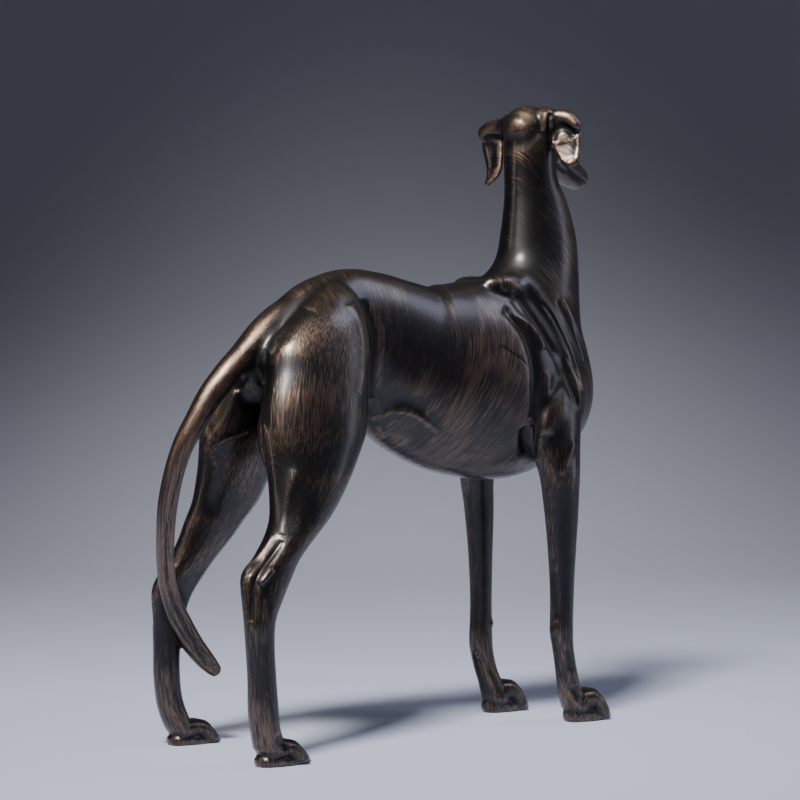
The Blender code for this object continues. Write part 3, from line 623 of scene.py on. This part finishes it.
ONCE = [
    (1.5, 1.3, [(97.5, -14, 348), (96, -15, 342.5), (96, -14, 335.5)]),
    (1.3, -1.4, [(99.5, -15.5, 347), (98.5, -16, 341.5), (100.5, -14, 336)]),
    (2, -1.3, [(101.5, -15, 331.5), (103.5, -16, 336.5), (106, -18.5, 338.5), (108.5, -21.5, 337.5),
        (111, -24, 333.5)]),
    (3.6, -0.5, [(104.5, -19.5, 330), (104, -21, 324.5), (105.5, -24.5, 319.5)]),
    (1, 0.7, [(100, -14, 333.5), (101.5, -15, 327.5), (111, -9.5, 323), (125.5, 0.5, 320),
        (134, 3.5, 319)]),
    (0.9, 0.6, [(113, -25, 336), (112, -26, 328), (109, -27.5, 319.5)]),
    (1.6, -1.2, [(88.5, 28.5, 334.5), (89, 24.5, 336), (90, 21, 336), (92, 19, 335)]),
    (3, -0.6, [(91, 23.5, 332.5), (90.5, 23.5, 325), (90, 22, 317.5)]),
    (0.9, 0.6, [(90.5, 31, 333.5), (90.5, 28, 327), (90, 25.5, 319), (88.5, 25, 312)]),
    (1, -0.8, [(88.5, 13.5, 344.5), (87, 13, 340), (91, 17.5, 336)]),
    (2, -1.4, [(-111.5, -6, 196.5), (-100.5, 11.5, 191.5), (-100.5, 13, 187.5)]),
    (1.3, -0.7, [(-145, 13, 122), (-142, 19, 106), (-137, 25, 91), (-130.5, 28, 77.5), (-122, 28.5, 63),
        (-114.5, 29, 51), (-107, 29.5, 42)]),
    (1.1, -0.5, [(-138, 29, 87.5), (-132.5, 31.5, 75), (-126.5, 30.5, 64.5), (-119.5, 30, 54.5)]),
    (1.8, 0.7, [(80.5, 29.5, 37), (81, 27, 36), (82.5, 25, 35)]),
    (1.5, 0.6, [(84, 25, 31.5), (88.5, 24, 22), (92.5, 23, 11.5), (96, 22.5, 4.5)]),
]
# Eyes, nostrils and mouth, on the head's own lines for the left side; the right side is its mirror
FACE = [
    (1, 0.7, [(28.5, 8, 1), (25.5, 9.6, 4.2), (21.5, 11, 5), (17.5, 12.4, 3.6)]),
    (0.7, -0.7, [(27.5, 8.5, 1), (24.5, 10, 3), (21.5, 11.3, 3.5), (18.3, 12.2, 3)]),
    (0.7, -0.6, [(27.5, 8.4, 0.8), (24, 10.5, -0.6), (21, 11.5, -0.6), (18.3, 12.2, 1.8)]),
    (1.7, 0.7, [(25, 10, 1.4), (22.8, 10.8, 1.4), (20.6, 11.5, 1.4)]),
    (2.2, 0.6, [(31, 6.5, 4), (26, 8.5, 7.5), (20, 10, 9)]),
    (1, -0.9, [(67.5, 2.4, -5.2), (67, 3.8, -6.6), (65, 4.6, -8)]),
    (0.8, -0.8, [(67, 2, -12.4), (58, 5, -12.2), (46, 6.3, -11.6), (35, 7.6, -10.6), (27, 8.8, -8.5)]),
    (0.7, -0.5, [(62, 4.6, -4), (61.5, 5.4, -7.5), (63.5, 4.6, -11)]),
    (2.5, 0.5, [(16, 12.5, -8), (11, 13.5, -5), (7, 14, 0)]),
]
LEFT_HIND_STEP = (8, 0, -9)
LEFT_FORE_STEP = (0, 0, 0)


def fade(value, low, high):
    """0 below low, 1 above high, eased between."""
    t = min(max((value - low) / (high - low), 0), 1)
    return t * t * (3 - 2 * t)


def flesh(p):
    """How far the broad forms run together: fully on the body, not on head, tail and feet."""
    x, z = p.x / MM, p.z / MM
    body = fade(z, 140, 175) * (1 - fade(z, 290, 315)) * fade(x + (z - 170) * 0.35, -112, -96)
    nape = 1 - fade((p / MM - Vector(NAPE)).length, 14, 26)
    return max(body, nape)


def settled(body):
    """Apply the modifiers."""
    graph = bpy.context.evaluated_depsgraph_get()
    mesh = bpy.data.meshes.new_from_object(body.evaluated_get(graph))
    body.modifiers.clear()
    old, body.data = body.data, mesh
    bpy.data.meshes.remove(old)
    return mesh


def modifier(body, kind, **values):
    """One modifier with its settings."""
    made = body.modifiers.new(kind.lower(), kind)
    for name, value in values.items():
        setattr(made, name, value)
    return made


def carve(mesh, folds):
    """Push the skin in or out along each fold."""
    count = len(mesh.vertices)
    at = np.empty(count * 3)
    mesh.vertices.foreach_get("co", at)
    at = at.reshape(-1, 3) / MM
    out = np.empty(count * 3)
    mesh.vertex_normals.foreach_get("vector", out)
    out = out.reshape(-1, 3)
    surface = BVHTree.FromPolygons([Vector(p) for p in at], [tuple(p.vertices) for p in mesh.polygons])
    push = np.zeros(count)
    for width, height, line in folds:
        points = [surface.find_nearest(Vector(p))[0] for p in line]
        rows = [np.array(surface.find_nearest(p)[0]) for p in smooth_rows(points, 2)]
        low = np.min(rows, axis=0) - 4 * width
        high = np.max(rows, axis=0) + 4 * width
        near = np.where(((at > low) & (at < high)).all(axis=1))[0]
        best = np.full(len(near), 1e9)
        share = np.zeros(len(near))
        for k, (a, b) in enumerate(zip(rows, rows[1:])):
            run = b - a
            t = np.clip(((at[near] - a) @ run) / max(run @ run, 1e-9), 0, 1)
            gap = np.linalg.norm(at[near] - a - t[:, None] * run, axis=1)
            closer = gap < best
            best[closer] = gap[closer]
            share[closer] = ((k + t) / (len(rows) - 1))[closer]
        ends = np.clip(np.minimum(share, 1 - share) / 0.22, 0, 1)
        push[near] += height * np.exp(-(best / width) ** 2) * np.sqrt(ends * (2 - ends))
    at = (at + out * push[:, None]) * MM
    mesh.vertices.foreach_set("co", at.ravel())
    mesh.update()


def both_sides(folds, step):
    """The folds of the right side and their twins on the left."""
    made = list(folds)
    for width, height, line in folds:
        made.append((width, height, [(x + step[0], -y + step[1], z + step[2]) for x, y, z in line]))
    return made


def face_lines():
    """The lines of the face in place on both sides of the head."""
    made = []
    for s in (-1, 1):
        for width, height, line in FACE:
            made.append((width, height, [head_place() @ Vector((x, s * y, z)) for x, y, z in line]))
    return made


def grind_soles(mesh):
    """Grind the feet flat, centre the casting where the solid stands and return that step in mm."""
    points = np.empty(len(mesh.vertices) * 3)
    mesh.vertices.foreach_get("co", points)
    points = points.reshape(-1, 3)
    points[:, 2] = np.maximum(points[:, 2] / MM - SOLE, 0)
    points[points[:, 2] < 0.3, 2] = 0
    points[:, 2] *= MM
    middle = (points.min(axis=0) + points.max(axis=0)) / 2
    step = [(cad_low[k] + cad_high[k]) / 2 - middle[k] for k in (0, 1)]
    points[:, :2] += step
    mesh.vertices.foreach_set("co", points.ravel())
    mesh.update()
    return [v / MM for v in step]


bmesh.ops.recalc_face_normals(form, faces=form.faces[:])
form.transform(Matrix.Scale(MM, 4))
shape = bpy.data.meshes.new("greyhound_casting")
form.to_mesh(shape)
form.free()
dog = bpy.data.objects.new("greyhound_casting", shape)
bpy.context.scene.collection.objects.link(dog)

passes = (1.2 / GRAIN) ** 2
modifier(dog, "REMESH", mode="VOXEL", voxel_size=GRAIN * MM, use_smooth_shade=True)
modifier(dog, "SMOOTH", factor=0.5, iterations=round(3 * passes))
shape = settled(dog)
group = dog.vertex_groups.new(name="flesh")
bands = {}
for v in shape.vertices:
    bands.setdefault(round(flesh(v.co) * 10), []).append(v.index)
for band, members in bands.items():
    group.add(members, band / 10, "REPLACE")
modifier(dog, "SMOOTH", factor=0.5, iterations=round(28 * passes), vertex_group="flesh")
shape = settled(dog)
carve(shape, both_sides(SHOULDER, LEFT_FORE_STEP) + both_sides(HIND, LEFT_HIND_STEP) + ONCE + face_lines())
triangles = sum(len(p.vertices) - 2 for p in shape.polygons)
modifier(dog, "DECIMATE", ratio=FACETS / triangles, use_collapse_triangulate=True)
shape = settled(dog)
centring = grind_soles(shape)
shape.shade_smooth()
dog.vertex_groups.clear()


# Where each point lies on the forms, so that the brushing can follow them
def level_gap(at, rows):
    """How far out of a standing form each point lies (1 is its skin), and its place across the form."""
    rows = np.array(sorted((list(r) for r in smooth_rows(rows, 4)), key=lambda r: r[2]))
    z = at[:, 2]
    across = [at[:, k] - np.interp(z, rows[:, 2], rows[:, k]) for k in (0, 1)]
    sizes = [np.interp(z, rows[:, 2], rows[:, k]) for k in (3, 4)]
    beyond = np.maximum(z - rows[-1, 2], rows[0, 2] - z).clip(0) / sizes[1]
    gap = np.sqrt((across[0] / sizes[0]) ** 2 + (across[1] / sizes[1]) ** 2 + beyond ** 2)
    return gap, np.stack((*across, z / STROKE), axis=1)


def path_gap(at, rows):
    """The same for a form along a path."""
    rows = np.array([list(r) for r in smooth_rows(rows, 4)])
    gap = np.full(len(at), 1e9)
    place = np.zeros((len(at), 3))
    run = 0
    for a, b in zip(rows, rows[1:]):
        step = b[:3] - a[:3]
        length = np.linalg.norm(step)
        t = np.clip((at - a[:3]) @ step / length ** 2, 0, 1)
        off = at - a[:3] - t[:, None] * step
        here = np.linalg.norm(off, axis=1) / (a[3] + t * (b[3] - a[3]))
        closer = here < gap
        gap[closer] = here[closer]
        along = (run + t * length) / STROKE
        place[closer] = (off + along[:, None] * np.array((0, 0.3, 1)))[closer]
        run += length
    return gap, place


STROKE = 20  # a brush line is this many times longer than it is wide
BACK, LEAN = 225, 141  # the hoops round the trunk lean below this height, more for a smaller second value
HIP = 200  # above this height the hoops take over from the lines of the legs
MEET = 7  # how sharply one set of lines gives way to the next
count = len(shape.vertices)
at = np.empty(count * 3)
shape.vertices.foreach_get("co", at)
at = at.reshape(-1, 3) / MM - np.array([*centring, -SOLE])
x, y, z = at.T
rows = np.array(TRUNK)
middle, tall, wide = [np.interp(x, rows[:, 0], v) for v in (
    (rows[:, 1] + rows[:, 2]) / 2, (rows[:, 1] - rows[:, 2]) / 2, rows[:, 3])]
beyond = np.maximum(x - rows[-1, 0], rows[0, 0] - x).clip(0) / 20
trunk_gap = np.sqrt((y / wide) ** 2 + ((z - middle) / tall) ** 2 + beyond ** 2)
hoop = np.stack((x + (BACK - z).clip(0) ** 2 / LEAN, y / STROKE, z / STROKE), axis=1)
legs = (RIGHT_HIND, LEFT_HIND, RIGHT_FORE, LEFT_FORE)
limb_gaps, limb_places = zip(*[level_gap(at, leg) for leg in legs])
nearest = np.argmin(limb_gaps, axis=0)
limb_gap = np.min(limb_gaps, axis=0) + (z - HIP).clip(0) / 50
limb = np.choose(nearest[:, None], limb_places)
neck_gap = level_gap(at, NECK)[0]
neck = np.stack((x + 0.8 * z, y / STROKE, z / STROKE), axis=1)
tail_gap, tail = path_gap(at, TAIL)
inward = head_place().inverted()
local = at @ np.array(inward.to_3x3()).T + np.array(inward.translation)
skull_gap, skull = path_gap(local, [(x, 0, z, (deep + wide) / 2, 0) for x, z, deep, wide in HEAD])
long_gaps = (neck_gap, tail_gap, skull_gap)
line_gap = np.min(long_gaps, axis=0)
line = np.choose(np.argmin(long_gaps, axis=0)[:, None], (neck, tail, skull))
weights = np.exp(-MEET * np.stack((trunk_gap, limb_gap, line_gap), axis=1).clip(0, 4))
weights /= weights.sum(axis=1, keepdims=True)

# How far each point stands proud of the skin round it: the high places are rubbed, the low ones stay dark
NEAR, FAR = 6, 60  # rounds of evening out that leave the fine edges and the broad forms standing
ends = np.empty(len(shape.edges) * 2, dtype=np.int32)
shape.edges.foreach_get("vertices", ends)
ends = np.concatenate((ends.reshape(-1, 2), ends.reshape(-1, 2)[:, ::-1]))
links = np.bincount(ends[:, 0], minlength=count)
out = np.empty(count * 3)
shape.vertex_normals.foreach_get("vector", out)
out = out.reshape(-1, 3)
even = at.copy()
proud = {}
for turn in range(1, FAR + 1):
    sums = [np.bincount(ends[:, 0], even[ends[:, 1], k], count) for k in range(3)]
    even = np.stack(sums, axis=1) / links[:, None]
    if turn in (NEAR, FAR):
        proud[turn] = ((at - even) * out).sum(axis=1)
for name, values in (("hoop", hoop), ("limb", limb), ("line", line), ("flow", weights),
                     ("relief", np.stack((proud[NEAR], proud[FAR], z), axis=1))):
    layer = shape.attributes.new(name, "FLOAT_VECTOR", "POINT")
    layer.data.foreach_set("vector", np.ascontiguousarray(values, dtype=np.float32).ravel())

bronze = bpy.data.materials.new("brushed_dark_bronze")
bronze.use_nodes = True
tree = bronze.node_tree
shader = tree.nodes["Principled BSDF"]
# Black-brown bronze, brushed by hand after the patina and waxed: hairlines show the copper below,
# thick on the high places.
HAIRLINES = 1.7  # to the millimetre
PATCHES = 28  # lighter and darker brushed patches to the metre
lines = []
for name in ("hoop", "limb", "line"):
    place = add_node(tree, "ShaderNodeAttribute", attribute_name=name).outputs["Vector"]
    lines.append(add_node(tree, "ShaderNodeTexNoise", {
        "Vector": place, "Scale": HAIRLINES, "Detail": 3, "Roughness": 0.65}).outputs["Fac"])
flow = add_node(tree, "ShaderNodeAttribute", attribute_name="flow").outputs["Vector"]
packed = add_node(tree, "ShaderNodeCombineXYZ", dict(enumerate(lines))).outputs[0]
streak = add_node(tree, "ShaderNodeVectorMath", {
    0: packed, 1: flow}, operation="DOT_PRODUCT").outputs["Value"]
stands = add_node(tree, "ShaderNodeAttribute", attribute_name="relief").outputs["Vector"]
relief = add_node(tree, "ShaderNodeSeparateXYZ", {0: stands})
at_object = add_node(tree, "ShaderNodeTexCoord").outputs["Object"]
patch = add_node(tree, "ShaderNodeTexNoise", {
    "Vector": at_object, "Scale": PATCHES, "Detail": 2, "Roughness": 0.5}).outputs["Fac"]
edge = add_node(tree, "ShaderNodeMapRange", {
    "Value": relief.outputs[0], "From Min": 0.03, "From Max": 0.16, "To Min": 0, "To Max": 0.12}).outputs[0]
rub = add_node(tree, "ShaderNodeMapRange", {
    "Value": relief.outputs[1], "From Min": -0.5, "From Max": 1.0,
    "To Min": -0.06, "To Max": 0.06}).outputs[0]
spread = add_node(tree, "ShaderNodeMapRange", {
    "Value": patch, "From Min": 0.3, "From Max": 0.7, "To Min": -0.09, "To Max": 0.03}).outputs[0]
# Neck, head and tail are handled most, so they are rubbed a little more than the trunk and the legs.
worn = add_node(tree, "ShaderNodeVectorMath", {
    0: flow, 1: (-0.005, -0.015, 0.045)}, operation="DOT_PRODUCT").outputs["Value"]
total = streak
for part in (edge, rub, spread, worn):
    total = add_node(tree, "ShaderNodeMath", {0: total, 1: part}, operation="ADD").outputs[0]
copper = add_node(tree, "ShaderNodeMapRange", {
    "Value": total, "From Min": 0.53, "From Max": 0.84}, interpolation_type="SMOOTHSTEP").outputs[0]
colour = add_node(tree, "ShaderNodeMix", {
    0: copper, 6: linear("#262526"), 7: linear("#745f50")}, data_type="RGBA")
tree.links.new(colour.outputs[2], shader.inputs["Base Color"])
shader.inputs["Metallic"].default_value = 1
rough = add_node(tree, "ShaderNodeMapRange", {"Value": copper, "To Min": 0.4, "To Max": 0.36}).outputs[0]
# Deep hollows keep the dull cast skin: no brush and little wax gets in.
dull = add_node(tree, "ShaderNodeMapRange", {
    "Value": relief.outputs[1], "From Min": -1.0, "From Max": -0.1, "To Min": 1, "To Max": 0}).outputs[0]
rough = add_node(tree, "ShaderNodeMath", {0: dull, 1: 0.2, 2: rough}, operation="MULTIPLY_ADD").outputs[0]
tree.links.new(rough, shader.inputs["Roughness"])
wax = add_node(tree, "ShaderNodeMapRange", {"Value": dull, "To Min": 0.7, "To Max": 0.15}).outputs[0]
tree.links.new(wax, shader.inputs["Coat Weight"])
shader.inputs["Coat Roughness"].default_value = 0.26
bump = add_node(tree, "ShaderNodeBump", {"Height": streak, "Strength": 1.0, "Distance": 0.00022}).outputs[0]
tree.links.new(bump, shader.inputs["Normal"])
shape.materials.clear()
shape.materials.append(bronze)

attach(dog, "root")
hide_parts("greyhound")
